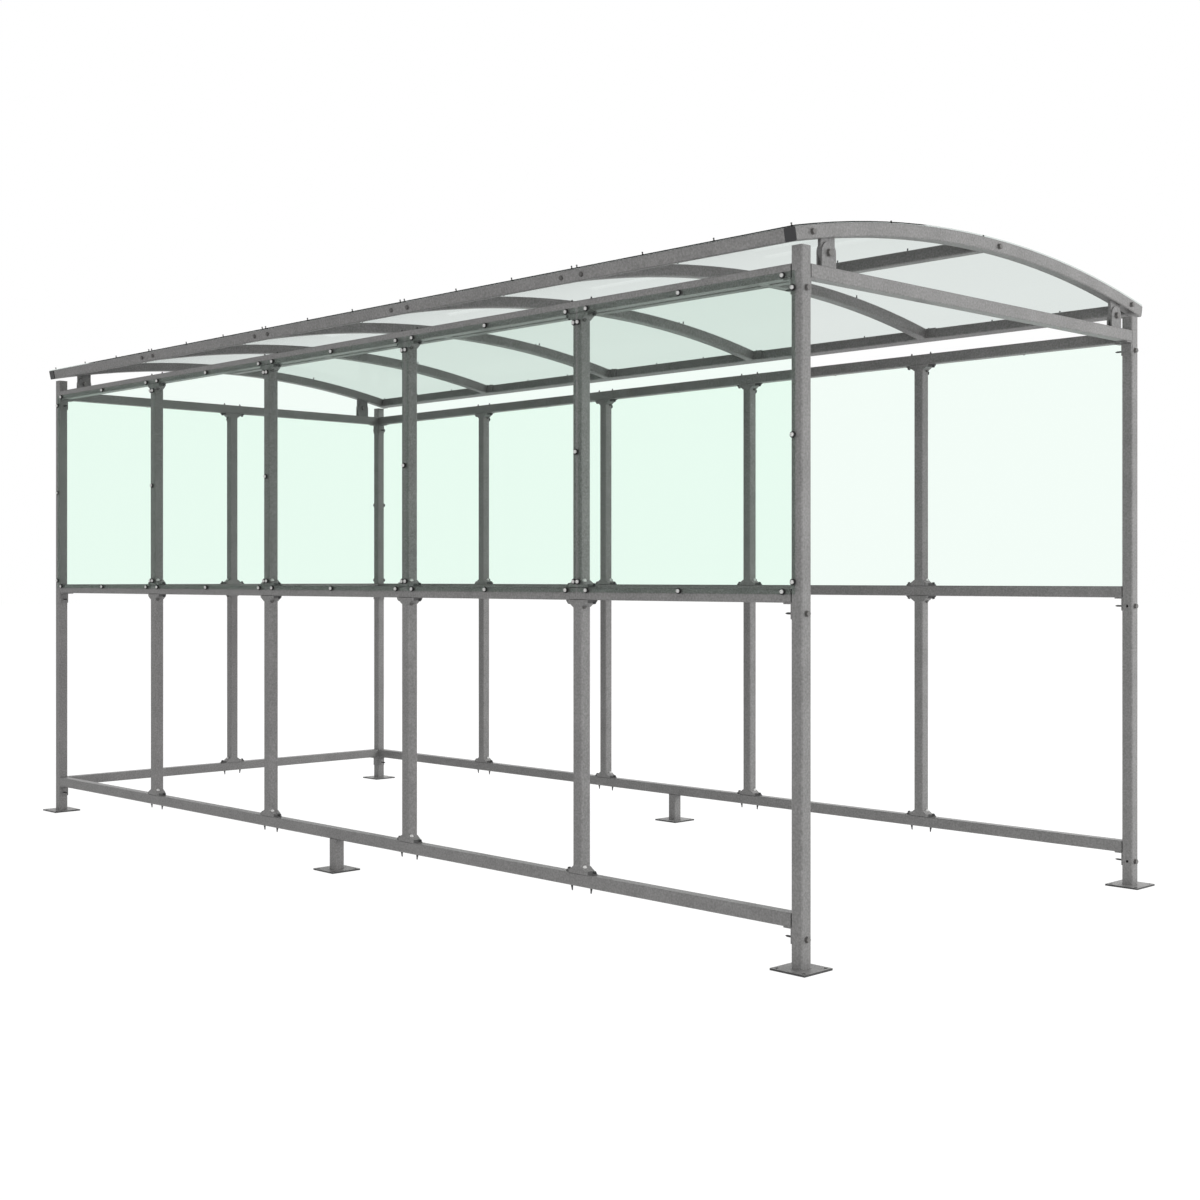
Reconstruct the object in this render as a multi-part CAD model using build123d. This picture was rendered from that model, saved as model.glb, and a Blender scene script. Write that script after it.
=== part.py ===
from build123d import *
import math
import os

# Smoking shelter: a framed walk-in shelter with clear half-height walls and a low barrel roof.
# Millimetres. +X points to the open entrance end, +Y to the back long wall, +Z up.
# The origin is on the floor at the middle of the footprint.

# Overall frame
length = 4480.0
width = 1878.0
bays = 5
end_bays = 2

# Square tube of the whole frame, with its corners eased
tube = 40.0
tube_wall = 3.0
tube_corner = 3.0

# Undersides of the three rails above the floor
bottom_rail_z = 118.0
middle_rail_z = 1022.0
top_rail_z = 1927.0
rail_gap = 1.5
post_rise = 49.0

# Base plates under the posts and the two middle feet
plate_size = 124.0
plate_thickness = 6.0
plate_hole_spacing = 96.0
plate_hole_radius = 6.0

# Spare bolt holes in the entrance posts
spare_hole_drop = 30.0
spare_hole_radius = 5.0

# Angle brackets that carry the rails on the posts
bracket_wall = 4.0
bracket_drop = 46.0
bracket_reach = 30.0
bracket_width = 34.0

# Flared feet of the mullions: a screw seat on each side of the tube, and a thin tip beyond it
foot_height = 22.0
foot_reach = 66.0
foot_seat = 45.0
foot_seat_width = 16.0
foot_seat_wall = 10.0
foot_shoulder = 36.0
foot_tip_wall = 2.5
foot_tip_width = 12.0

# Barrel roof
roof_radius = 4556.0
roof_clearance = 10.3
roof_overhang = 30.5
arch_plate_wall = 5.0
arch_plate_ear = 42.0
purlin_gap = 1.0
cap_wall = 2.5
cap_plug_depth = 18.0

# Tab joints that carry the roof on the end beams
tab_width = 64.0
tab_wall = 5.0
tongue_wall = 10.0
tab_inset = 132.0

# Clear sheets
pane_thickness = 4.0
pane_post_lap = 15.0
pane_bottom_lap = 16.0
pane_top_lap = 18.0
roof_sheet_thickness = 3.0
roof_sheet_joint = 2.0
seat_gap = 0.3

bay_pitch = (length - tube) / bays
end_pitch = (width - tube) / end_bays
post_x = (length - tube) / 2
post_y = (width - tube) / 2
wall_stations = [-post_x + i * bay_pitch for i in range(bays + 1)]
end_stations = [-post_y + i * end_pitch for i in range(end_bays + 1)]
post_height = top_rail_z + tube + post_rise
arch_centre_z = post_height + roof_clearance - math.sqrt((roof_radius - tube) ** 2 - (width / 2) ** 2)
roof_top_z = arch_centre_z + roof_radius
arch_end_angle = math.degrees(math.asin((width / 2 + roof_overhang) / roof_radius))
tube_angle = math.degrees(tube / (roof_radius - tube / 2))
rails = {"bottom": bottom_rail_z, "middle": middle_rail_z, "top": top_rail_z}


# Outside of the tube
def tube_outline():
    return chamfer(Rectangle(tube, tube).vertices(), tube_corner)


# Inside of the tube, smaller all round by a clearance
def bore_profile(clearance):
    size = tube - 2 * tube_wall - 2 * clearance
    return Rectangle(size, size)


# Tube standing on the origin along +Z
def tube_profile():
    return tube_outline() - bore_profile(0)


def upright(span):
    return extrude(tube_profile(), span)


# Tube along +X or +Y, centred on the origin, lying with its underside at z = 0
def rail_along_x(span):
    return Pos(-span / 2, 0, tube / 2) * Rot(0, 90, 0) * upright(span)


def rail_along_y(span):
    return Pos(0, span / 2, tube / 2) * Rot(90, 0, 0) * upright(span)


# Plate lying at z = 0 to its thickness, with four bolt holes
def base_plate():
    plate = extrude(Rectangle(plate_size, plate_size), plate_thickness)
    hole = extrude(Circle(plate_hole_radius), plate_thickness)
    return plate - [spot * hole for spot in GridLocations(plate_hole_spacing, plate_hole_spacing, 2, 2)]


def leg(top):
    return base_plate() + Pos(0, 0, plate_thickness) * upright(top - plate_thickness)


# Spare holes stand below the bottom and middle rails, in the wall that faces across the entrance
def spare_holes(side):
    bore = Rot(90 * side, 0, 0) * extrude(Circle(spare_hole_radius), tube)
    return [Pos(0, 0, rails[name] - spare_hole_drop) * bore for name in ("bottom", "middle")]


def corner_post(x, y, entrance):
    post = leg(post_height)
    if entrance:
        for hole in spare_holes(math.copysign(1, y)):
            post -= hole
    return Pos(x, y, 0) * post


# Points of one side and their mirror image across the middle, in order round the outline
def both_sides(points):
    return points + [(-x, y) for x, y in reversed(points)]


# Foot of a mullion: flared along X in side view and pointed in plan
def flared_foot():
    side_view = both_sides(
        [
            (foot_reach, 0),
            (foot_reach, foot_tip_wall),
            (foot_seat + foot_seat_width / 2, foot_seat_wall),
            (foot_seat - foot_seat_width / 2, foot_seat_wall),
            (tube / 2, foot_height),
        ]
    )
    plan = both_sides(
        [
            (foot_shoulder, -tube / 2),
            (foot_reach, -foot_tip_width / 2),
            (foot_reach, foot_tip_width / 2),
            (foot_shoulder, tube / 2),
        ]
    )
    flare = extrude(Plane.XZ * make_face(Polyline(*side_view, close=True)), tube / 2, both=True)
    return flare & extrude(make_face(Polyline(*plan, close=True)), foot_height)


# Mullion between two rails, with a flared foot at each end
def mullion(span):
    shaft = Pos(0, 0, foot_seat_wall) * upright(span - 2 * foot_seat_wall)
    foot = flared_foot()
    return shaft + foot + Pos(0, 0, span) * Rot(180, 0, 0) * foot


def mullion_rows():
    lower = (bottom_rail_z + tube, middle_rail_z)
    upper = (middle_rail_z + tube, top_rail_z)
    return {"lower": lower, "upper": upper}


# Angle bracket below a rail end: the origin is where post face and rail underside meet
def rail_bracket():
    with BuildPart() as bracket:
        with BuildSketch(Plane.XZ):
            with BuildLine():
                Polyline(
                    (0, 0),
                    (bracket_reach, 0),
                    (bracket_reach, -bracket_wall),
                    (bracket_wall, -bracket_wall),
                    (bracket_wall, -bracket_drop),
                    (0, -bracket_drop),
                    close=True,
                )
            make_face()
        extrude(amount=bracket_width / 2, both=True)
    return bracket.part


# Point of the roof arc at a radius and an angle from the top, positive towards the back
def arc_place(radius, angle):
    return Pos(0, 0, arch_centre_z) * Rot(-angle, 0, 0) * Pos(0, 0, radius)


# Solid turned about the roof axis from one angle to the other, from a profile drawn at the top
def turned_arc(profile, start, end):
    axis = Axis((0, 0, arch_centre_z), (-1, 0, 0))
    turned = revolve(Plane.XZ * Pos(0, roof_top_z) * profile, axis, end - start)
    return turned.rotate(axis, start)


def arch(start, end):
    return turned_arc(Pos(0, -tube / 2) * tube_profile(), start, end)


# Middle of an eave beam's underside, turned square to the roof arc, side is -1 front or 1 back
def eave_place(side):
    return arc_place(roof_radius - tube, side * (arch_end_angle - tube_angle / 2))


# Plate across the end of a middle arch, standing against the eave beam's inner face
def arch_plate(side):
    plate = Box(tube + 2 * arch_plate_ear, arch_plate_wall, tube)
    return eave_place(side) * Pos(0, -side * (tube + arch_plate_wall) / 2, tube / 2) * plate


def middle_arch(x):
    plate_angle = math.degrees(arch_plate_wall / (roof_radius - tube / 2))
    end_angle = arch_end_angle - tube_angle - plate_angle / 2
    return Pos(x, 0, 0) * (arch(-end_angle, end_angle) + arch_plate(1) + arch_plate(-1))


# Eave beam between the end arches
def eave_beam(side):
    return eave_place(side) * rail_along_x(length - 2 * tube)


# Ridge purlin: one length of tube in each bay, between the arches
def ridge_purlin():
    span = bay_pitch - tube - 2 * purlin_gap
    pieces = []
    for i in range(bays):
        x = (wall_stations[i] + wall_stations[i + 1]) / 2
        pieces.append(Pos(x, 0, roof_top_z - tube) * rail_along_x(span))
    return pieces


# Square plug of an arch end: a head as wide as the tube and a stem inside it
def arch_cap(side):
    head = extrude(tube_outline(), cap_wall)
    stem = Pos(0, 0, -cap_plug_depth) * extrude(bore_profile(seat_gap), cap_plug_depth)
    place = arc_place(roof_radius - tube / 2, side * arch_end_angle)
    return place * Rot(-90 * side, 0, 0) * (head + stem)


# Flush plug of a post top
def post_cap(x, y):
    return Pos(x, y, post_height - cap_plug_depth) * extrude(bore_profile(seat_gap), cap_plug_depth)


# Height of the underside of the arches at a place across the shelter
def arch_underside(y):
    return arch_centre_z + math.sqrt((roof_radius - tube) ** 2 - y**2)


# Roof tab with a round end about the bolt axis, half-way between beam and arch
# The lower tabs rise from the beam and the tongue between them hangs from the arch
def tab(y, thickness, hanging):
    beam_top = top_rail_z + tube
    axis_z = (beam_top + arch_underside(y)) / 2
    reach = roof_top_z - axis_z if hanging else axis_z - beam_top
    shank = Pos(0, reach / 2 if hanging else -reach / 2) * Rectangle(tab_width, reach)
    outline = Pos(y, axis_z) * (Circle(tab_width / 2) + shank)
    if hanging:
        outline &= Pos(0, arch_centre_z) * Circle(roof_radius - tube)
    return extrude(Plane.YZ * outline, thickness / 2, both=True)


def roof_tabs(x):
    lower_shift = (tongue_wall + tab_wall) / 2
    tabs = []
    for side in (-1, 1):
        y = side * (width / 2 - tab_inset)
        lower = tab(y, tab_wall, False)
        tabs += [Pos(x - lower_shift, 0, 0) * lower, Pos(x + lower_shift, 0, 0) * lower]
        tabs.append(Pos(x, 0, 0) * tab(y, tongue_wall, True))
    return tabs


# Clear roof sheet over one bay, on top of the arches, eave beams and ridge
def roof_sheet(x_low, x_high):
    span = x_high - x_low
    profile = Pos(0, seat_gap + roof_sheet_thickness / 2) * Rectangle(span, roof_sheet_thickness)
    return Pos((x_low + x_high) / 2, 0, 0) * turned_arc(profile, -arch_end_angle, arch_end_angle)


def roof_sheet_edges():
    joints = [x for x in wall_stations]
    joints[0] = -length / 2
    joints[-1] = length / 2
    edges = []
    for i in range(bays):
        low = joints[i] + (roof_sheet_joint / 2 if i > 0 else 0)
        high = joints[i + 1] - (roof_sheet_joint / 2 if i < bays - 1 else 0)
        edges.append((low, high))
    return edges


# Clear wall panes outside the upper half of the frame, lapping each post or mullion
def pane_spans(stations):
    lap = tube / 2 - pane_post_lap
    return [(a + lap, b - lap) for a, b in zip(stations, stations[1:])]


def pane(span):
    bottom = middle_rail_z + tube - pane_bottom_lap
    top = top_rail_z + pane_top_lap
    return Pos(0, 0, bottom) * Box(span, pane_thickness, top - bottom, align=(Align.CENTER, Align.CENTER, Align.MIN))


def long_wall_panes(side):
    y = side * (width / 2 + pane_thickness / 2)
    return [Pos((a + b) / 2, y, 0) * pane(b - a) for a, b in pane_spans(wall_stations)]


def end_wall_panes():
    x = -length / 2 - pane_thickness / 2
    return [Pos(x, (a + b) / 2, 0) * Rot(0, 0, 90) * pane(b - a) for a, b in pane_spans(end_stations)]


# Brackets at both ends of a rail row: turned so that each lies under its own rail end
def brackets_along_x(y, levels):
    return [
        Pos(side * (post_x - tube / 2), y, z) * Rot(0, 0, 0 if side < 0 else 180) * rail_bracket()
        for side in (-1, 1)
        for z in levels
    ]


def brackets_along_y(x, levels):
    return [
        Pos(x, side * (post_y - tube / 2), z) * Rot(0, 0, 90 if side < 0 else -90) * rail_bracket()
        for side in (-1, 1)
        for z in levels
    ]


def write(name, solids):
    shape = Compound(children=list(solids)) if isinstance(solids, list) else solids
    export_step(shape, f"parts/{name}.step")


os.makedirs("parts", exist_ok=True)

# Posts and middle feet
for wall, y in (("front", -post_y), ("back", post_y)):
    write(f"{wall}_left_post", corner_post(-post_x, y, False))
    write(f"{wall}_right_post", corner_post(post_x, y, True))
    write(f"{wall}_foot", Pos(0, y, 0) * leg(bottom_rail_z))

# Rails
for name, z in rails.items():
    for wall, y in (("front", -post_y), ("back", post_y)):
        write(f"{wall}_{name}_rail", Pos(0, y, z) * rail_along_x(length - 2 * tube - 2 * rail_gap))
    write(f"left_{name}_rail", Pos(-post_x, 0, z) * rail_along_y(width - 2 * tube - 2 * rail_gap))
write("entrance_beam", Pos(post_x, 0, top_rail_z) * rail_along_y(width - 2 * tube - 2 * rail_gap))

# Rail brackets
for wall, y in (("front", -post_y), ("back", post_y)):
    write(f"{wall}_rail_brackets", brackets_along_x(y, rails.values()))
write("left_rail_brackets", brackets_along_y(-post_x, rails.values()))
write("entrance_beam_brackets", brackets_along_y(post_x, [top_rail_z]))

# Mullions
for row, (low, high) in mullion_rows().items():
    for wall, y in (("front", -post_y), ("back", post_y)):
        write(f"{wall}_{row}_mullions", [Pos(x, y, low) * mullion(high - low) for x in wall_stations[1:-1]])
    write(f"left_{row}_mullion", Pos(-post_x, 0, low) * Rot(0, 0, 90) * mullion(high - low))

# Roof frame
write("left_end_arch", Pos(-post_x, 0, 0) * arch(-arch_end_angle, arch_end_angle))
write("right_end_arch", Pos(post_x, 0, 0) * arch(-arch_end_angle, arch_end_angle))
for i, x in enumerate(wall_stations[1:-1], 1):
    write(f"middle_arch_{i}", middle_arch(x))
write("front_eave_beam", eave_beam(-1))
write("back_eave_beam", eave_beam(1))
write("ridge_purlin", ridge_purlin())
write("arch_end_caps", [Pos(x, 0, 0) * arch_cap(side) for x in (-post_x, post_x) for side in (-1, 1)])
write("post_top_caps", [post_cap(x, y) for x in (-post_x, post_x) for y in (-post_y, post_y)])
write("left_roof_tabs", roof_tabs(-post_x))
write("right_roof_tabs", roof_tabs(post_x))

# Clear sheets
for i, (low, high) in enumerate(roof_sheet_edges(), 1):
    write(f"roof_sheet_{i}", roof_sheet(low, high))
write("front_panes", long_wall_panes(-1))
write("back_panes", long_wall_panes(1))
write("left_panes", end_wall_panes())
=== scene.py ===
import math

import bpy
from mathutils import Matrix, Vector


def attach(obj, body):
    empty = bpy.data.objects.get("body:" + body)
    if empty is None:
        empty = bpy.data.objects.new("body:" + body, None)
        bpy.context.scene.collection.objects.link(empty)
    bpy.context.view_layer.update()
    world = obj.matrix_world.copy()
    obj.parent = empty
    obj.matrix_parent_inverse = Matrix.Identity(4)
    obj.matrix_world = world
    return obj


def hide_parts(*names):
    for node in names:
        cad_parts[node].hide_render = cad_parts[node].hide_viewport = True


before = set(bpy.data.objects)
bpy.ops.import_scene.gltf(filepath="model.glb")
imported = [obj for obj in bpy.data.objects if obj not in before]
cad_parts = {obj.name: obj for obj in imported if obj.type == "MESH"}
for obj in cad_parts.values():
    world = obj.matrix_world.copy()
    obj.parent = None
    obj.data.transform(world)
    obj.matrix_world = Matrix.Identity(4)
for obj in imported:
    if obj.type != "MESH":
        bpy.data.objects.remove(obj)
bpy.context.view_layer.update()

# Sizes of the steel frame in metres: +X points to the entrance, +Y to the back wall
MM = 0.001
TUBE = 40 * MM
POST_X = 2220 * MM
POST_Y = 919 * MM
OUTER_X = 2240 * MM
OUTER_Y = 939 * MM
BAY = 888 * MM
BAYS = 5
BRACKET_WALL = 4 * MM
BOTTOM_RAIL = 118 * MM
MIDDLE_RAIL = 1022 * MM
TOP_RAIL = 1927 * MM
RAIL_ROWS = [BOTTOM_RAIL, MIDDLE_RAIL, TOP_RAIL]
WALL_STATIONS = [-POST_X + i * BAY for i in range(BAYS + 1)]
END_STATIONS = [-POST_Y, 0.0, POST_Y]

# Wall panes: a hair clear of the frame, with polished edges
PANE = 4 * MM
PANE_CLEARANCE = 0.2 * MM
PANE_FROM_STATION = 5 * MM
PANE_BOTTOM_Z = 1046 * MM
PANE_TOP_Z = 1945 * MM
PANE_EDGE = 0.4 * MM
PANE_EDGE_SEGMENTS = 2
PANE_CREASE = 5

# Roof arc
ROOF_RADIUS = 4556 * MM
ROOF_CENTRE_Z = -2391.0 * MM
ROOF_EDGE_Y = 969.5 * MM
SHEET_TOP = 3.3 * MM
EAVE_ANGLE = math.asin(ROOF_EDGE_Y / ROOF_RADIUS) - TUBE / 2 / (ROOF_RADIUS - TUBE / 2)

# Places of the fasteners
PANE_SCREW_FROM_STATION = 46.5 * MM
PANE_SCREW_FROM_EDGE = 9.5 * MM
PANE_SCREW_ROWS = [1936 * MM, 1053 * MM]
SIDE_SCREW_ROWS = [1898 * MM, 1080 * MM]
SIDE_SCREW_MIDDLE_Z = 1489.5 * MM
FOOT_SCREW_FROM_STATION = 57 * MM
FOOT_SCREW_LEAN = math.tan(math.radians(14))
FOOT_SEAT = 7 * MM
FOOT_SIDE_SCREW_RISE = 20 * MM
FOOT_SIDE_SCREW_OUT = 8 * MM
DRILL_POINT_FROM_STATION = 45 * MM
DRILL_POINT_LEAN = math.tan(math.radians(6))
POST_BOLT_DROP = 30 * MM
EAVE_BOLT_FROM_ARCH = 46 * MM
END_ARCH_BOLTS_Y = [-893 * MM, 48 * MM, 893 * MM]
TAB_Y = 807 * MM
TAB_AXIS_Z = 2009.7 * MM
TAB_HALF = 10 * MM
ROOF_SCREW_FROM_ARCH = 12 * MM
ROOF_SCREW_FROM_END = 8 * MM
ROOF_SCREW_ARCH_Y = 488 * MM
ROOF_SCREW_GAPS = 3

# Turned fasteners: sides, radius and height of a first cylinder, then rise and scale of each step of its top
PANE_WASHER = (18, 9.3 * MM, 3.4 * MM, [(0.8 * MM, 0.86)])
DOME_BASE = 4.2 * MM
DOME_HEAD = (18, 6.2 * MM, 1.8 * MM, [(1.6 * MM, 0.9), (1.3 * MM, 0.76), (0.7 * MM, 0.66)])
DOME_RIM = 0.6 * MM
DOME_SOCKET = 1.6 * MM
LOW_BOLT = (18, 8.0 * MM, 2.6 * MM, [(1.9 * MM, 0.88), (1.1 * MM, 0.7)])
ROOF_SCREW_STEPS = [(0.4 * MM, 0.6), (3.8 * MM, 1.0), (0.0, 1.35), (2.6 * MM, 0.92), (0.8 * MM, 0.6)]
ROOF_SCREW = (12, 3.4 * MM, 1.4 * MM, ROOF_SCREW_STEPS)

# Hexagon bolts: width across the flats, height of the head and radius of its washer, with one bevel for all
HEX_SIDES = 6
HEX_BEVEL_RISE = 1.2 * MM
HEX_BEVEL = (HEX_BEVEL_RISE, 0.87)
POST_BOLT = (15 * MM, 7.5 * MM, 9.5 * MM)
TAB_BOLT = (19 * MM, 8 * MM, 12 * MM)
BOLT_WASHER_SIDES = 20
BOLT_WASHER = 1.6 * MM

# Roof tab nut with its bolt's end, and the head of a mullion foot's screw on its flange
NUT_ACROSS = 19 * MM
NUT_WALL = 7.5 * MM
NUT_RIM = 3.0 * MM
NUT_BOLT_BASE = 6.0 * MM
NUT_BOLT = (14, 6.0 * MM, 9.5 * MM, [(1.3 * MM, 0.78)])
FOOT_FLANGE_SIDES = 16
FOOT_FLANGE_RADIUS = 6.6 * MM
FOOT_FLANGE = 1.4 * MM
FOOT_HEAD_ACROSS = 9.0 * MM
FOOT_HEAD = 3.6 * MM
FOOT_HEAD_BEVEL = (0.9 * MM, 0.85)

# Pointed ends: radius, straight share of the length, then the tapering steps as shares of the length
POINT_SIDES = 12
DRILL_POINT = (3.9 * MM, 0.3, [(0.25, 0.72), (0.3, 0.86), (0.15, 0.35)])
BOTTOM_POINT_LENGTH = 21 * MM
TOP_POINT_LENGTH = 10 * MM
BOLT_END = (3.2 * MM, 0.75, [(0.15, 0.7), (0.1, 0.4)])
BOLT_END_LENGTH = 32 * MM

# Shading crease in degrees, and what counts as a top face at a height
CREASE = 32
FACING_UP = 0.9
SAME_HEIGHT = 1e-5

# Steel: its two noises, its shades and gloss, and where shade is painted on it
SPECKLE = {"Scale": 150.0, "Detail": 3.0}
SPECKLE_SHARE = 0.7
CLOUDS = {"Scale": 9.0, "Detail": 3.0}
SHADE_LOW = 0.68
SHADE_HIGH = 1.32
PAINTED_SHADE_SHARE = 0.2
STOP_LOW = 0.3
STOP_HIGH = 0.7
STEEL_ROUGHNESS = 0.48
CLOUD_ROUGHNESS = 0.16
STEEL_GLOSS = {"Metallic": 0.25, "Specular IOR Level": 0.4, "Coat Weight": 0.25, "Coat Roughness": 0.2}
TUBE_SHADE = 0.225
TUBE_WARMTH = 0.012
BRACKET_SHADE = 0.205
BRACKET_WARMTH = 0.008
# Painted shade on all steel below this height: the edges and bores of the base plates
PAINTED_GROUND_SHADE_TOP = 5.7 * MM
# Painted shade on the tips of the mullions' feet: from this distance off the station the level drops to this
# share
TIP_SHADE_FROM_STATION = 44 * MM
PAINTED_TIP_SHADE_LEVEL = 0.25

# Clear sheets: the tint seen through them, the share of lamp light that they pass, and their refractive index
PANE_TINT = (0.90, 0.985, 0.935, 1.0)
PANE_SHADE = (0.81, 0.77, 0.79, 1.0)
PANE_BEND = 1.05
ROOF_TINT = (0.74, 0.785, 0.765, 1.0)
ROOF_SHADE = (0.62, 0.62, 0.62, 1.0)
ROOF_BEND = 1.01

# Studio
FLOOR_SIZE = 120
FLOOR_PAINT = 0.42
FLOOR_GLOW = 1.08
FLOOR_GLOW_SHARE = 0.93
FLOOR_MATT = 0.95
WORLD_LEVEL = 0.33
# Name, place, target, side of the square and power in watts
LAMPS = [
    ("entrance_side_light", (5.6, 4.4, 3.0), (1.2, 0, 1.2), 2.2, 225),
    ("entrance_fill_light", (6.6, -0.5, 1.5), (0, 0.9, 1.2), 1.6, 80),
    ("front_side_light", (6.3, -7.9, 2.0), (0.6, 0, 1.0), 3.8, 345),
    ("rear_fill_light", (-6.0, 4.6, 4.6), (-0.4, 0, 1.3), 3.6, 330),
    ("rear_rim_light", (1.3, 5.8, 5.0), (0.8, 0, 1.8), 2.4, 260),
]
CAMERA_PLACE = (5.1626, -4.5453, 1.0904)
CAMERA_TURN = (math.radians(90), 0, 0.8018)
CAMERA_SENSOR = 36.0
CAMERA_LENS = 50.0
CAMERA_SHIFT_Y = -0.0181
CAMERA_CLIP_END = 200.0


# One socket of a shader tree, so that its maths reads as plain expressions
class Wire:
    def __init__(self, tree, socket):
        self.tree = tree
        self.socket = socket

    def maths(self, operation, *values):
        return add_node(self.tree, "ShaderNodeMath", {"operation": operation}, dict(enumerate(values)))

    def __add__(self, other):
        return self.maths("ADD", self, other)

    def __radd__(self, other):
        return self.maths("ADD", other, self)

    def __sub__(self, other):
        return self.maths("SUBTRACT", self, other)

    def __rsub__(self, other):
        return self.maths("SUBTRACT", other, self)

    def __mul__(self, other):
        return self.maths("MULTIPLY", self, other)

    def __rmul__(self, other):
        return self.maths("MULTIPLY", other, self)

    def __abs__(self):
        return self.maths("ABSOLUTE", self)


# Adds a node: its settings come first, then the values or links of its sockets
def add_node(tree, kind, settings=None, inputs=None, out=0):
    node = tree.nodes.new(kind)
    for name, value in (settings or {}).items():
        if name == "stops":
            ramp = node.color_ramp
            while len(ramp.elements) < len(value):
                ramp.elements.new(1.0)
            for stop, (place, shade) in zip(ramp.elements, value):
                stop.position = place
                stop.color = shade
        else:
            setattr(node, name, value)
    for name, value in (inputs or {}).items():
        socket = node.inputs[name]
        if isinstance(value, Wire):
            tree.links.new(value.socket, socket)
        else:
            socket.default_value = value
    return Wire(tree, node.outputs[out]) if node.outputs else None


def blank_material(name):
    material = bpy.data.materials.new(name)
    material.use_nodes = True
    material.node_tree.nodes.clear()
    return material


def set_surface(tree, shader):
    add_node(tree, "ShaderNodeOutputMaterial", None, {"Surface": shader})


def mix_shaders(tree, share, first, second):
    return add_node(tree, "ShaderNodeMixShader", None, {0: share, 1: first, 2: second})


def grey(value):
    return (value, value, value, 1.0)


def warm_grey(value, warmth):
    return (value * (1 + warmth), value, value * (1 - warmth), 1)


# 1 near the shaft of a mullion, 0 on the tips of its feet, which get painted shade. Along X the mullions
# stand half a bay from the middle of the long walls and a bay apart. Along Y one stands at the middle of the
# left wall.
def near_shaft(tree, place, along):
    offset = abs(add_node(tree, "ShaderNodeSeparateXYZ", None, {"Vector": place}, along))
    if along == "X":
        offset = abs(abs(offset - BAY) - BAY / 2)
    return offset.maths("LESS_THAN", offset, TIP_SHADE_FROM_STATION)


# Zinc-coated steel: a mid grey with a fine speckle and broad, faint clouds, with painted shade on the edges
# and bores of the plates and on the tips of the mullions' feet. The direction along the wall is given for
# mullions only.
def steel_material(name, shade, warmth, along=None):
    material = blank_material(name)
    tree = material.node_tree
    place = add_node(tree, "ShaderNodeTexCoord", out="Object")
    speckle = add_node(tree, "ShaderNodeTexNoise", None, {"Vector": place, **SPECKLE}, "Fac")
    clouds = add_node(tree, "ShaderNodeTexNoise", None, {"Vector": place, **CLOUDS}, "Fac")
    height = add_node(tree, "ShaderNodeSeparateXYZ", None, {"Vector": place}, "Z")
    # Painted shade: below the plates' top face the level drops to 0, the darkest stop
    above_painted_shade = height.maths("GREATER_THAN", height, PAINTED_GROUND_SHADE_TOP)
    level = (speckle * SPECKLE_SHARE + clouds * (1 - SPECKLE_SHARE)) * above_painted_shade
    if along:
        # Painted shade on the tips of the mullions' feet
        level = level * (PAINTED_TIP_SHADE_LEVEL + (1 - PAINTED_TIP_SHADE_LEVEL) * near_shaft(tree, place, along))
    # The first, darkest stop is painted shade, on the plates' edges and bores and on the tips of the
    # mullions' feet
    stops = [
        (0.0, grey(shade * PAINTED_SHADE_SHARE)),
        (STOP_LOW, warm_grey(shade * SHADE_LOW, warmth)),
        (STOP_HIGH, warm_grey(shade * SHADE_HIGH, warmth)),
    ]
    colour = add_node(tree, "ShaderNodeValToRGB", {"stops": stops}, {"Fac": level})
    rough = STEEL_ROUGHNESS + clouds * CLOUD_ROUGHNESS
    values = {"Base Color": colour, "Roughness": rough, **STEEL_GLOSS}
    set_surface(tree, add_node(tree, "ShaderNodeBsdfPrincipled", None, values, "BSDF"))
    return material


# Clear plastic sheet: tinted glass that lets part of the lamps' light through to what is behind it
def sheet_material(name, tint, shade, bend):
    material = blank_material(name)
    tree = material.node_tree
    values = {"Base Color": tint, "Roughness": 0.0, "IOR": bend, "Transmission Weight": 1.0}
    clear = add_node(tree, "ShaderNodeBsdfPrincipled", None, values, "BSDF")
    passing = add_node(tree, "ShaderNodeBsdfTransparent", None, {"Color": shade}, "BSDF")
    from_lamp = add_node(tree, "ShaderNodeLightPath", out="Is Shadow Ray")
    set_surface(tree, mix_shaders(tree, from_lamp, clear, passing))
    return material


def plain_material(name, colour, roughness, metallic):
    material = blank_material(name)
    tree = material.node_tree
    values = {"Base Color": colour, "Roughness": roughness, "Metallic": metallic}
    set_surface(tree, add_node(tree, "ShaderNodeBsdfPrincipled", None, values, "BSDF"))
    return material


GALVANISED = steel_material("galvanised_steel_finish", TUBE_SHADE, TUBE_WARMTH)
# Mullion steel, with painted shade on the tips of the feet
LONG_WALL_MULLION_TIP_SHADE = steel_material("long_wall_mullion_steel_painted_tip_shade", TUBE_SHADE, TUBE_WARMTH, "X")
LEFT_WALL_MULLION_TIP_SHADE = steel_material("left_wall_mullion_steel_painted_tip_shade", TUBE_SHADE, TUBE_WARMTH, "Y")
BRACKET = steel_material("bracket_steel_finish", BRACKET_SHADE, BRACKET_WARMTH)
PANE_FINISH = sheet_material("clear_wall_pane_finish", PANE_TINT, PANE_SHADE, PANE_BEND)
ROOF_FINISH = sheet_material("clear_roof_sheet_finish", ROOF_TINT, ROOF_SHADE, ROOF_BEND)
BOLT = plain_material("zinc_bolt_finish", (0.20, 0.195, 0.19, 1.0), 0.3, 0.75)
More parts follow.
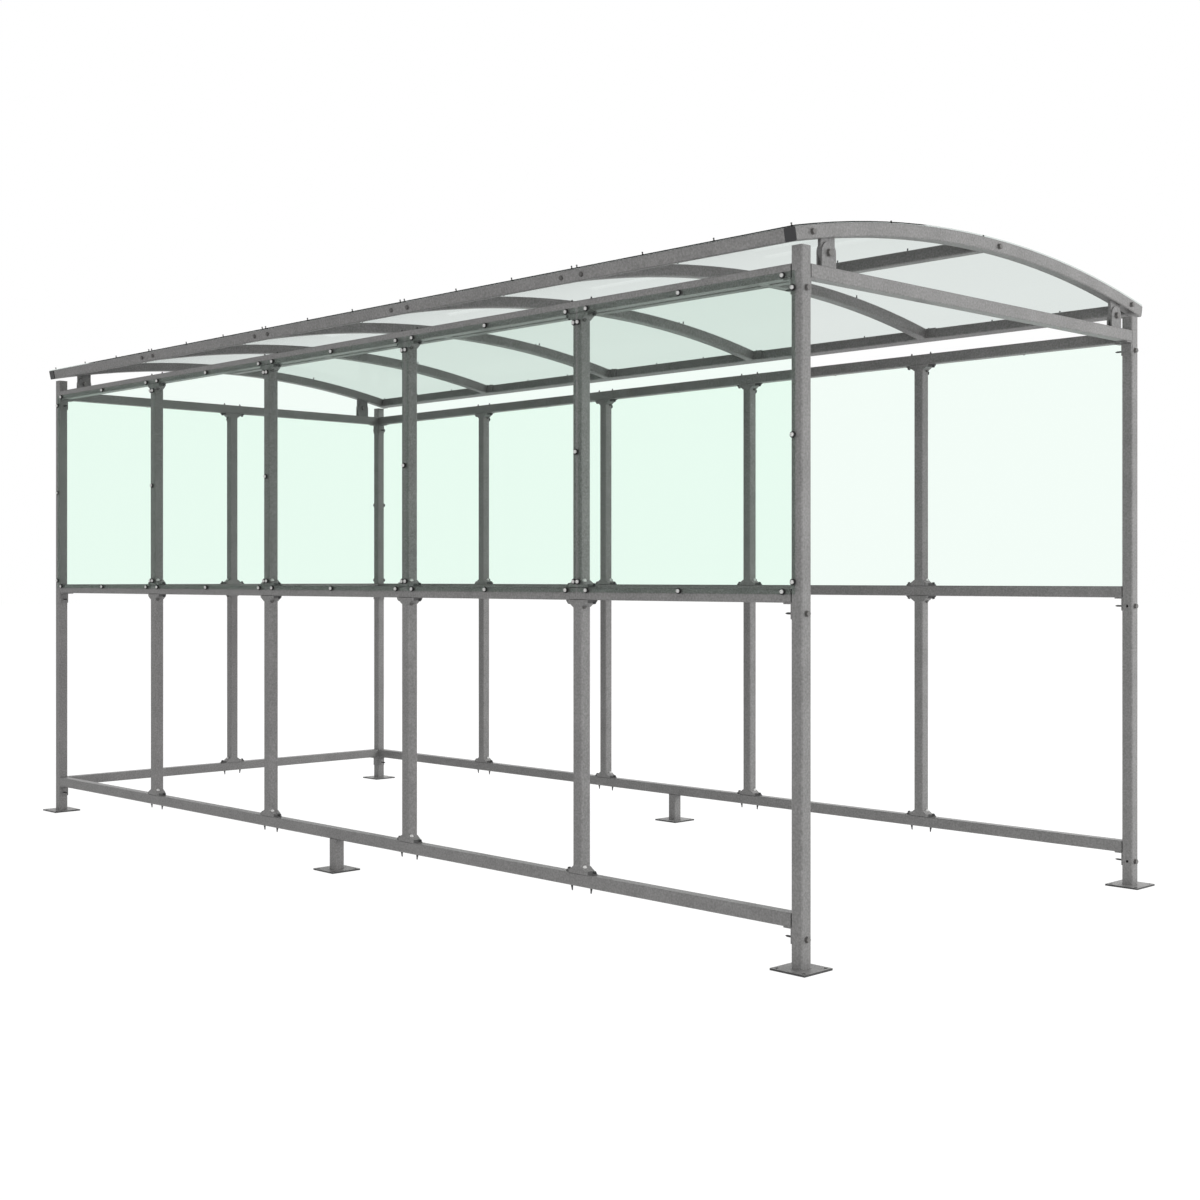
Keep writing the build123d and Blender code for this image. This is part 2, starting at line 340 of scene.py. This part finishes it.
# A darker, duller grey for the eave bolts and roof screws, also used as painted shade on the side screws of
# the mullions' hanging feet
DULL_AND_PAINTED_SHADE = plain_material("dull_bolt_and_painted_shade_finish", (0.10, 0.098, 0.095, 1.0), 0.42, 0.4)
DARK = plain_material("dark_screw_finish", (0.045, 0.045, 0.046, 1.0), 0.28, 0.5)
BLACK = plain_material("black_plastic_finish", (0.022, 0.022, 0.024, 1.0), 0.5, 0.0)
BRIGHT = plain_material("bright_screw_finish", (0.62, 0.62, 0.61, 1.0), 0.32, 0.6)
RUBBER = plain_material("black_rubber_finish", (0.012, 0.012, 0.012, 1.0), 0.7, 0.0)

NODE_FINISH = {
    "galvanised_steel": GALVANISED,
    "bracket_steel": BRACKET,
    "clear_pane": PANE_FINISH,
    "black_cap": BLACK,
}


def node_slot(name):
    if "pane" in name or "sheet" in name:
        return "clear_pane"
    if "caps" in name:
        return "black_cap"
    if "brackets" in name or "tabs" in name:
        return "bracket_steel"
    return "galvanised_steel"


def node_finish(name):
    if name.startswith("roof_sheet"):
        return ROOF_FINISH
    if "mullion" in name:
        return LEFT_WALL_MULLION_TIP_SHADE if name.startswith("left") else LONG_WALL_MULLION_TIP_SHADE
    return NODE_FINISH[node_slot(name)]


def dress_nodes():
    for name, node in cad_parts.items():
        node.data.materials.clear()
        node.data.materials.append(node_finish(name))


def deselect_all():
    bpy.ops.object.select_all(action="DESELECT")


# Cylinder of so many sides, standing on a base height along +Z
def add_cylinder(sides, radius, height, base):
    deselect_all()
    bpy.ops.mesh.primitive_cylinder_add(
        vertices=sides, radius=radius, depth=height, location=(0, 0, base + height / 2), end_fill_type="NGON"
    )
    bpy.ops.object.transform_apply(location=True, rotation=True, scale=True)
    return bpy.context.object


# Selects the top face of a piece, at a height, and opens the piece for editing
def open_top(piece, height):
    deselect_all()
    bpy.context.view_layer.objects.active = piece
    piece.select_set(True)
    bpy.ops.object.mode_set(mode="EDIT")
    bpy.ops.mesh.select_all(action="DESELECT")
    bpy.ops.object.mode_set(mode="OBJECT")
    for face in piece.data.polygons:
        face.select = face.normal.z > FACING_UP and abs(face.center.z - height) < SAME_HEIGHT
    bpy.ops.object.mode_set(mode="EDIT")
    bpy.ops.mesh.select_mode(type="FACE")


def close_edit():
    bpy.ops.object.mode_set(mode="OBJECT")


def raise_faces(rise):
    bpy.ops.mesh.extrude_region_move(TRANSFORM_OT_translate={"value": (0, 0, rise)})


# Turned or hexagon piece: a cylinder whose top is pulled up and scaled about the axis, step by step
def model_turned(sides, radius, height, steps, base=0.0):
    piece = add_cylinder(sides, radius, height, base)
    open_top(piece, base + height)
    for rise, share in steps:
        raise_faces(rise)
        bpy.ops.transform.resize(value=(share, share, 1.0), center_override=(0, 0, 0))
    close_edit()
    return piece


def top_height(height, steps, base=0.0):
    return base + height + sum(rise for rise, share in steps)


def hex_radius(across):
    return across / math.sqrt(3)


def join(pieces, name):
    deselect_all()
    for piece in pieces:
        piece.select_set(True)
    bpy.context.view_layer.objects.active = pieces[0]
    if len(pieces) > 1:
        bpy.ops.object.join()
    whole = bpy.context.view_layer.objects.active
    whole.name = name
    whole.data.name = name
    return whole


def give_finish(piece, finish, crease):
    piece.data.materials.clear()
    piece.data.materials.append(finish)
    deselect_all()
    piece.select_set(True)
    bpy.context.view_layer.objects.active = piece
    bpy.ops.object.shade_smooth_by_angle(angle=math.radians(crease))


# Domed screw head with a round socket, on top of its washer
def model_dome_head():
    sides, radius, height, steps = DOME_HEAD
    head = model_turned(sides, radius, height, steps, DOME_BASE)
    open_top(head, top_height(height, steps, DOME_BASE))
    bpy.ops.mesh.inset(thickness=DOME_RIM)
    raise_faces(-DOME_SOCKET)
    close_edit()
    return head


# Hexagon bolt head on a round washer
def model_hex_bolt(across, height, washer_radius):
    washer = add_cylinder(BOLT_WASHER_SIDES, washer_radius, BOLT_WASHER, 0.0)
    head = model_turned(HEX_SIDES, hex_radius(across), height - HEX_BEVEL_RISE, [HEX_BEVEL], BOLT_WASHER)
    return join([washer, head], "bolt")


# Nut with the bolt's end standing out of it
def model_nut():
    nut = model_turned(HEX_SIDES, hex_radius(NUT_ACROSS), NUT_WALL, [HEX_BEVEL])
    open_top(nut, top_height(NUT_WALL, [HEX_BEVEL]))
    bpy.ops.mesh.inset(thickness=NUT_RIM)
    close_edit()
    return join([nut, model_turned(*NUT_BOLT, NUT_BOLT_BASE)], "nut")


# Head of a mullion foot's self-drilling screw, on its flange. It leans on the tip of the foot.
def model_foot_screw():
    flange = add_cylinder(FOOT_FLANGE_SIDES, FOOT_FLANGE_RADIUS, FOOT_FLANGE, 0.0)
    head = model_turned(HEX_SIDES, hex_radius(FOOT_HEAD_ACROSS), FOOT_HEAD, [FOOT_HEAD_BEVEL], FOOT_FLANGE)
    return join([flange, head], "foot_screw")


# Drill point or bolt end, standing out of a face along +Z
def model_point(length, radius, straight, taper):
    steps = [(length * rise, share) for rise, share in taper]
    return model_turned(POINT_SIDES, radius, length * straight, steps)


# Matrix that seats a part modelled along +Z at a place, with its axis along a direction
def seat(place, axis):
    return Matrix.Translation(Vector(place)) @ Vector(axis).to_track_quat("Z", "X").to_matrix().to_4x4()


def finish_piece(piece, finish, crease=CREASE):
    give_finish(piece, finish, crease)
    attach(piece, "root")


# Copies of a model at its places, each with a mesh of its own, joined into one piece
def lay_out(model, places, name, finish):
    copies = []
    for place, axis in places:
        copy = model.copy()
        copy.data = model.data.copy()
        copy.data.transform(seat(place, axis))
        bpy.context.scene.collection.objects.link(copy)
        copies.append(copy)
    finish_piece(join(copies, name), finish)


def discard(*models):
    for model in models:
        bpy.data.objects.remove(model, do_unlink=True)


# Pane screw places along one wall, as (distance along it, height)
def pane_screw_grid(stations):
    grid = []
    for low, high in zip(stations, stations[1:]):
        across = [low + PANE_SCREW_FROM_STATION, (low + high) / 2, high - PANE_SCREW_FROM_STATION]
        for z in PANE_SCREW_ROWS:
            grid += [(place, z) for place in across]
        for z in SIDE_SCREW_ROWS:
            grid += [(low + PANE_SCREW_FROM_EDGE, z), (high - PANE_SCREW_FROM_EDGE, z)]
    grid.append((stations[0] + PANE_SCREW_FROM_EDGE, SIDE_SCREW_MIDDLE_Z))
    grid += [(station, SIDE_SCREW_MIDDLE_Z) for station in stations[1:-1]]
    grid.append((stations[-1] - PANE_SCREW_FROM_EDGE, SIDE_SCREW_MIDDLE_Z))
    return grid


# One wall pane across a span of the wall at +Y, with its back a clearance off the frame
def model_pane(low, high):
    deselect_all()
    bpy.ops.mesh.primitive_cube_add(
        size=1.0, location=((low + high) / 2, PANE_CLEARANCE / 2, (PANE_BOTTOM_Z + PANE_TOP_Z) / 2)
    )
    pane = bpy.context.object
    pane.scale = (high - low, PANE - PANE_CLEARANCE, PANE_TOP_Z - PANE_BOTTOM_Z)
    bpy.ops.object.transform_apply(location=True, rotation=True, scale=True)
    bpy.ops.object.mode_set(mode="EDIT")
    bpy.ops.mesh.select_all(action="SELECT")
    bpy.ops.mesh.bevel(offset=PANE_EDGE, segments=PANE_EDGE_SEGMENTS, affect="EDGES")
    close_edit()
    return pane


# Panes of one wall, in place of the plain ones: a turn about +Z and the wall's distance from the middle
def add_wall_panes(wall, stations, turn, reach):
    panes = []
    for low, high in zip(stations, stations[1:]):
        pane = model_pane(low + PANE_FROM_STATION, high - PANE_FROM_STATION)
        pane.data.transform(Matrix.Rotation(turn, 4, "Z") @ Matrix.Translation((0, reach + PANE / 2, 0)))
        panes.append(pane)
    whole = join(panes, f"{wall}_clear_panes")
    finish_piece(whole, PANE_FINISH, PANE_CREASE)
    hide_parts(f"{wall}_panes")


def add_panes():
    add_wall_panes("front", WALL_STATIONS, math.pi, OUTER_Y)
    add_wall_panes("back", WALL_STATIONS, 0.0, OUTER_Y)
    add_wall_panes("left", END_STATIONS, math.pi / 2, OUTER_X)


def add_pane_screws():
    walls = {
        "front": [((x, -OUTER_Y - PANE, z), (0, -1, 0)) for x, z in pane_screw_grid(WALL_STATIONS)],
        "back": [((x, OUTER_Y + PANE, z), (0, 1, 0)) for x, z in pane_screw_grid(WALL_STATIONS)],
        "left": [((-OUTER_X - PANE, y, z), (-1, 0, 0)) for y, z in pane_screw_grid(END_STATIONS)],
    }
    washer, head = model_turned(*PANE_WASHER), model_dome_head()
    for wall, places in walls.items():
        lay_out(washer, places, f"{wall}_pane_washers", RUBBER)
        lay_out(head, places, f"{wall}_pane_screw_heads", BRIGHT)
    discard(washer, head)


# Bolts of the rails on the posts' end faces, and of the end arches on their outer faces
def add_post_bolts():
    bolt = model_hex_bolt(*POST_BOLT)
    rail_places, arch_places = [], []
    for row in RAIL_ROWS:
        for y in (-POST_Y, POST_Y):
            rail_places += [((side * OUTER_X, y, row - POST_BOLT_DROP), (side, 0, 0)) for side in (1, -1)]
    for y in END_ARCH_BOLTS_Y:
        z = ROOF_CENTRE_Z + math.sqrt((ROOF_RADIUS - TUBE / 2) ** 2 - y**2)
        arch_places += [((side * OUTER_X, y, z), (side, 0, 0)) for side in (1, -1)]
    lay_out(bolt, rail_places, "post_bolts", BOLT)
    lay_out(bolt, arch_places, "end_arch_bolts", BOLT)
    discard(bolt)


# Ends of the post bolts, standing out of the rail brackets inside the bays
def add_bolt_ends():
    end = model_point(BOLT_END_LENGTH, *BOLT_END)
    inner = POST_X - TUBE / 2 - BRACKET_WALL
    places = []
    for row in RAIL_ROWS:
        for y in (-POST_Y, POST_Y):
            places += [((side * inner, y, row - POST_BOLT_DROP), (-side, 0, 0)) for side in (-1, 1)]
    lay_out(end, places, "post_bolt_ends", DARK)
    discard(end)


def add_eave_bolts():
    bolt = model_turned(*LOW_BOLT)
    radius = ROOF_RADIUS - TUBE / 2
    places = []
    for side in (-1, 1):
        axis = Vector((0, side * math.cos(EAVE_ANGLE), -math.sin(EAVE_ANGLE)))
        centre_y = side * radius * math.sin(EAVE_ANGLE)
        centre_z = ROOF_CENTRE_Z + radius * math.cos(EAVE_ANGLE)
        face = Vector((0, centre_y, centre_z)) + axis * TUBE / 2
        for x in WALL_STATIONS[1:-1]:
            for shift in (-EAVE_BOLT_FROM_ARCH, EAVE_BOLT_FROM_ARCH):
                places.append((face + Vector((x + shift, 0, 0)), axis))
    lay_out(bolt, places, "eave_beam_bolts", DULL_AND_PAINTED_SHADE)
    discard(bolt)


def add_tab_bolts():
    bolt, nut = model_hex_bolt(*TAB_BOLT), model_nut()
    heads, nuts = [], []
    for x in (-POST_X, POST_X):
        for y in (-TAB_Y, TAB_Y):
            heads.append(((x + TAB_HALF, y, TAB_AXIS_Z), (1, 0, 0)))
            nuts.append(((x - TAB_HALF, y, TAB_AXIS_Z), (-1, 0, 0)))
    lay_out(bolt, heads, "roof_tab_bolts", BOLT)
    lay_out(nut, nuts, "roof_tab_nuts", BOLT)
    discard(bolt, nut)


# Stations of the mullions: the wall's point, the direction along the wall and the one out of the shelter
def mullion_stations():
    spots = [((x, side * POST_Y), (1, 0), (0, side)) for side in (-1, 1) for x in WALL_STATIONS[1:-1]]
    spots.append(((-POST_X, 0.0), (0, 1), (-1, 0)))
    return spots


# Screws of the mullions' flared feet. Each foot stands up from a rail or hangs down from one.
def add_mullion_screws():
    feet = [(BOTTOM_RAIL + TUBE, 1), (MIDDLE_RAIL, -1), (MIDDLE_RAIL + TUBE, 1), (TOP_RAIL, -1)]
    foot_screws, points_down, points_up = [], [], []
    side_screws = {1: [], -1: []}
    for (x, y), (ax, ay), (ox, oy) in mullion_stations():
        out_x, out_y = ox * FOOT_SIDE_SCREW_OUT, oy * FOOT_SIDE_SCREW_OUT
        for z, up in feet:
            for side in (-1, 1):
                reach = side * FOOT_SCREW_FROM_STATION
                lean = side * FOOT_SCREW_LEAN
                tip = (x + ax * reach, y + ay * reach, z + up * FOOT_SEAT)
                foot_screws.append((tip, (ax * lean, ay * lean, up)))
                face = side * TUBE / 2
                spot = (x + ax * face + out_x, y + ay * face + out_y, z + up * FOOT_SIDE_SCREW_RISE)
                side_screws[up].append((spot, (ax * side, ay * side, 0)))
        for side in (-1, 1):
            reach = side * DRILL_POINT_FROM_STATION
            lean = -side * DRILL_POINT_LEAN
            spot = (x + ax * reach, y + ay * reach)
            points_down.append(((*spot, BOTTOM_RAIL), (ax * lean, ay * lean, -1)))
            points_up.append(((*spot, TOP_RAIL + TUBE), (ax * lean, ay * lean, 1)))
    foot_screw, side_screw = model_foot_screw(), model_turned(*LOW_BOLT)
    bottom_point = model_point(BOTTOM_POINT_LENGTH, *DRILL_POINT)
    top_point = model_point(TOP_POINT_LENGTH, *DRILL_POINT)
    lay_out(foot_screw, foot_screws, "mullion_foot_screws", DARK)
    lay_out(bottom_point, points_down, "bottom_drill_points", DARK)
    lay_out(top_point, points_up, "top_drill_points", DARK)
    # Side screws of standing feet are bright; the same screws on hanging feet take the darker grey as painted
    # shade
    lay_out(side_screw, side_screws[1], "mullion_side_screws", BRIGHT)
    lay_out(side_screw, side_screws[-1], "mullion_head_screws", DULL_AND_PAINTED_SHADE)
    discard(foot_screw, bottom_point, top_point, side_screw)


# Roof screws stand square to the arc at a distance from the ridge line
def roof_place(x, y):
    radius = ROOF_RADIUS + SHEET_TOP
    angle = math.asin(y / radius)
    return (x, y, ROOF_CENTRE_Z + radius * math.cos(angle)), (0, math.sin(angle), math.cos(angle))


def add_roof_screws():
    screw = model_turned(*ROOF_SCREW)
    eave_y = (ROOF_RADIUS + SHEET_TOP) * math.sin(EAVE_ANGLE)
    places = []
    for i in range(BAYS):
        first = WALL_STATIONS[i] + (ROOF_SCREW_FROM_ARCH if i > 0 else ROOF_SCREW_FROM_END)
        last = WALL_STATIONS[i + 1] - (ROOF_SCREW_FROM_ARCH if i < BAYS - 1 else ROOF_SCREW_FROM_END)
        for step in range(ROOF_SCREW_GAPS + 1):
            x = first + (last - first) * step / ROOF_SCREW_GAPS
            places += [roof_place(x, y) for y in (-eave_y, 0.0, eave_y)]
        for x in (first, last):
            places += [roof_place(x, y) for y in (-ROOF_SCREW_ARCH_Y, ROOF_SCREW_ARCH_Y)]
    lay_out(screw, places, "roof_sheet_screws", DULL_AND_PAINTED_SHADE)
    discard(screw)


# 1 for the rays that show the background: seen straight, in a reflection or through a pane
def seen_ray(tree):
    straight = add_node(tree, "ShaderNodeLightPath", out="Is Camera Ray")
    mirrored = add_node(tree, "ShaderNodeLightPath", out="Is Glossy Ray")
    through = add_node(tree, "ShaderNodeLightPath", out="Is Transmission Ray")
    shown = straight.maths("MAXIMUM", straight.maths("MAXIMUM", straight, mirrored), through)
    return shown * (1.0 - scattered_ray(tree))


# 1 for the rays that have left a matt face
def scattered_ray(tree):
    depth = add_node(tree, "ShaderNodeLightPath", out="Diffuse Depth")
    return depth.maths("MINIMUM", depth, 1.0)


def add_floor():
    deselect_all()
    bpy.ops.mesh.primitive_plane_add(size=FLOOR_SIZE, location=(0, 0, 0))
    floor = bpy.context.object
    floor.name = "studio_floor"
    material = blank_material("studio_floor_paint")
    tree = material.node_tree
    paint = add_node(tree, "ShaderNodeBsdfDiffuse", None, {"Color": grey(FLOOR_PAINT)}, "BSDF")
    glow = {"Color": grey(1.0), "Strength": FLOOR_GLOW}
    white = add_node(tree, "ShaderNodeEmission", None, glow, "Emission")
    bright = add_node(tree, "ShaderNodeBsdfDiffuse", None, {"Color": grey(FLOOR_MATT)}, "BSDF")
    shown = mix_shaders(tree, FLOOR_GLOW_SHARE, bright, white)
    set_surface(tree, mix_shaders(tree, seen_ray(tree), paint, shown))
    floor.data.materials.append(material)


def background(tree, shade, strength):
    values = {"Color": grey(shade), "Strength": strength}
    return add_node(tree, "ShaderNodeBackground", None, values, "Background")


# Soft light from all around, with white behind the shelter. Rays that left a matt face and then went through
# a pane bring none, because the sheets' own shade already lets that light in.
def add_world():
    world = bpy.data.worlds.new("studio_world")
    bpy.context.scene.world = world
    world.use_nodes = True
    tree = world.node_tree
    tree.nodes.clear()
    through = add_node(tree, "ShaderNodeLightPath", out="Is Transmission Ray")
    soft = background(tree, 1.0, WORLD_LEVEL)
    spent = background(tree, 0.0, 0.0)
    white = background(tree, 1.0, 1.0)
    lit = mix_shaders(tree, through * scattered_ray(tree), soft, spent)
    shown = mix_shaders(tree, seen_ray(tree), lit, white)
    add_node(tree, "ShaderNodeOutputWorld", None, {"Surface": shown})


def add_lamp(name, place, target, size, power):
    data = bpy.data.lights.new(name, "AREA")
    data.shape = "SQUARE"
    data.size = size
    data.energy = power
    lamp = bpy.data.objects.new(name, data)
    lamp.location = place
    lamp.visible_glossy = False
    lamp.visible_transmission = False
    lamp.rotation_euler = (Vector(target) - Vector(place)).to_track_quat("-Z", "Y").to_euler()
    bpy.context.scene.collection.objects.link(lamp)


def add_camera():
    data = bpy.data.cameras.new("camera")
    data.sensor_width = CAMERA_SENSOR
    data.lens = CAMERA_LENS
    data.shift_y = CAMERA_SHIFT_Y
    data.clip_end = CAMERA_CLIP_END
    camera = bpy.data.objects.new("camera", data)
    camera.location = CAMERA_PLACE
    camera.rotation_euler = CAMERA_TURN
    bpy.context.scene.collection.objects.link(camera)
    bpy.context.scene.camera = camera


dress_nodes()
add_panes()
add_pane_screws()
add_post_bolts()
add_bolt_ends()
add_eave_bolts()
add_tab_bolts()
add_mullion_screws()
add_roof_screws()
add_floor()
add_world()
for lamp in LAMPS:
    add_lamp(*lamp)
add_camera()
bpy.context.scene.view_settings.view_transform = "Standard"
